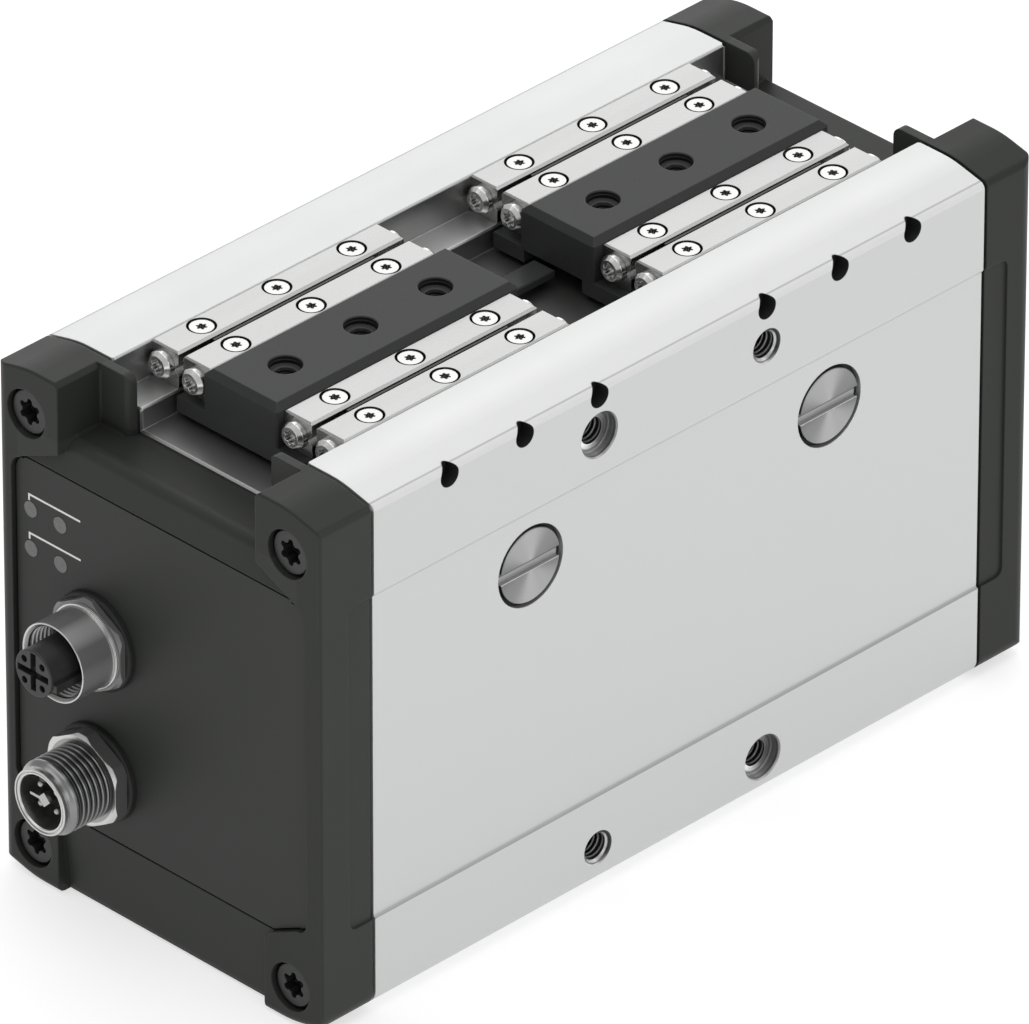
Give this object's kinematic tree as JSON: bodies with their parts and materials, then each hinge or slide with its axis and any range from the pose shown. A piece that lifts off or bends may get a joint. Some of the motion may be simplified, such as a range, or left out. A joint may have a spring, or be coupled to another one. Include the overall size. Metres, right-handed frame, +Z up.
{
  "type": "parallel gripper",
  "caption": "Electric parallel gripper with two jaws sliding on crossed-roller rails in a box-shaped aluminium body with dark end caps and round plug connectors.",
  "frame": {"origin": "middle of the flat underside, on the plane midway between the jaws", "axes": "+X along the jaw travel with the connectors at the -X end, +Y across the body, +Z up towards the jaws"},
  "size_m": [0.1572, 0.066, 0.0876],
  "materials": {
    "anodised_body": "satin natural anodised",
    "dark_cap": "satin dark grey",
    "rubber": "matt black",
    "screw_steel": "bright zinc plated",
    "black_steel": "blackened",
    "rail_steel": "ground, hardened",
    "cage_steel": "stamped, dark",
    "spacer_brass": "turned",
    "roller_steel": "polished",
    "dark_jaw": "hard anodised dark grey",
    "gear_steel": "ground teeth",
    "turned_aluminium": "turned, anodised",
    "plate_aluminium": "milled",
    "magnet": "nickel plated",
    "stator_iron": "varnished laminations",
    "copper": "enamelled winding",
    "board_green": "solder mask",
    "chip_black": "moulded",
    "panel_foil": "fine matt foil",
    "light_pipe": "smoked clear",
    "nickel": "nickel plated",
    "insert_black": "moulded",
    "contact_silver": "silver plated"
  },
  "bodies": {
    "housing": {"access_plug_seals": "rubber", "access_plugs": "turned_aluminium", "board_components": "chip_black", "board_screws": "screw_steel", "board_spacers": "spacer_brass", "com_connector_contacts": "contact_silver", "com_connector_gasket": "rubber", "com_connector_insert": "insert_black", "com_connector_shell": "nickel", "connector_locknuts": "nickel", "controller_board": "board_green", "drive_plate": "plate_aluminium", "drive_plate_screws": "screw_steel", "encoder_board": "board_green", "front_cap": "dark_cap", "front_cap_gasket": "rubber", "front_cap_screws": "black_steel", "front_panel_foil": "panel_foil", "housing_profile": "anodised_body", "led_light_pipes": "light_pipe", "left_far_outer_rail": "rail_steel", "left_near_outer_rail": "rail_steel", "motor_bearings": "roller_steel", "motor_housing": "plate_aluminium", "motor_screws": "screw_steel", "outer_rail_end_screws": "screw_steel", "outer_rail_screws": "screw_steel", "power_connector_gasket": "rubber", "power_connector_insert": "insert_black", "power_connector_pins": "contact_silver", "power_connector_shell": "nickel", "preload_set_screws": "black_steel", "rear_cap": "dark_cap", "rear_cap_gasket": "rubber", "rear_cap_screws": "black_steel", "right_far_outer_rail": "rail_steel", "right_near_outer_rail": "rail_steel", "stator_coils": "copper", "stator_core": "stator_iron"},
    "right_jaw": {"right_jaw_block": "dark_jaw", "right_inner_rails": "rail_steel", "right_rail_screws": "screw_steel", "right_rail_end_screws": "screw_steel", "right_rack": "gear_steel", "right_rack_screws": "screw_steel"},
    "left_jaw": {"left_jaw_block": "dark_jaw", "left_inner_rails": "rail_steel", "left_rail_screws": "screw_steel", "left_rail_end_screws": "screw_steel", "left_rack": "gear_steel", "left_rack_screws": "screw_steel", "left_jaw_tongue": "dark_jaw"},
    "right_cages": {"right_roller_cages": "cage_steel", "right_rollers": "roller_steel"},
    "left_cages": {"left_roller_cages": "cage_steel", "left_rollers": "roller_steel"},
    "rotor": {"motor_shaft": "gear_steel", "pinion": "gear_steel", "rotor_magnets": "magnet", "encoder_magnet": "magnet"}
  },
  "joints": [
    {"name": "right_jaw_slide", "type": "slide", "parent": "housing", "child": "right_jaw", "axis": [1, 0, 0], "range_m": [-0.007, 0.007]},
    {"name": "left_jaw_slide", "type": "slide", "parent": "housing", "child": "left_jaw", "axis": [1, 0, 0], "range_m": [-0.007, 0.007]},
    {"name": "right_cages_slide", "type": "slide", "parent": "housing", "child": "right_cages", "axis": [1, 0, 0], "range_m": [-0.0036, 0.0036]},
    {"name": "left_cages_slide", "type": "slide", "parent": "housing", "child": "left_cages", "axis": [1, 0, 0], "range_m": [-0.0036, 0.0036]},
    {"name": "rotor_spin", "type": "hinge", "parent": "housing", "child": "rotor", "pos_m": [0, 0, 0.05], "axis": [0, 0, 1], "range_deg": [-58, 58]}
  ],
  "couplings": [
    {"joint": "left_jaw_slide", "follows": "right_jaw_slide", "ratio": -1},
    {"joint": "right_cages_slide", "follows": "right_jaw_slide", "ratio": 0.5},
    {"joint": "left_cages_slide", "follows": "right_jaw_slide", "ratio": -0.5},
    {"joint": "rotor_spin", "follows": "right_jaw_slide", "rad_per_m": -142.86}
  ]
}
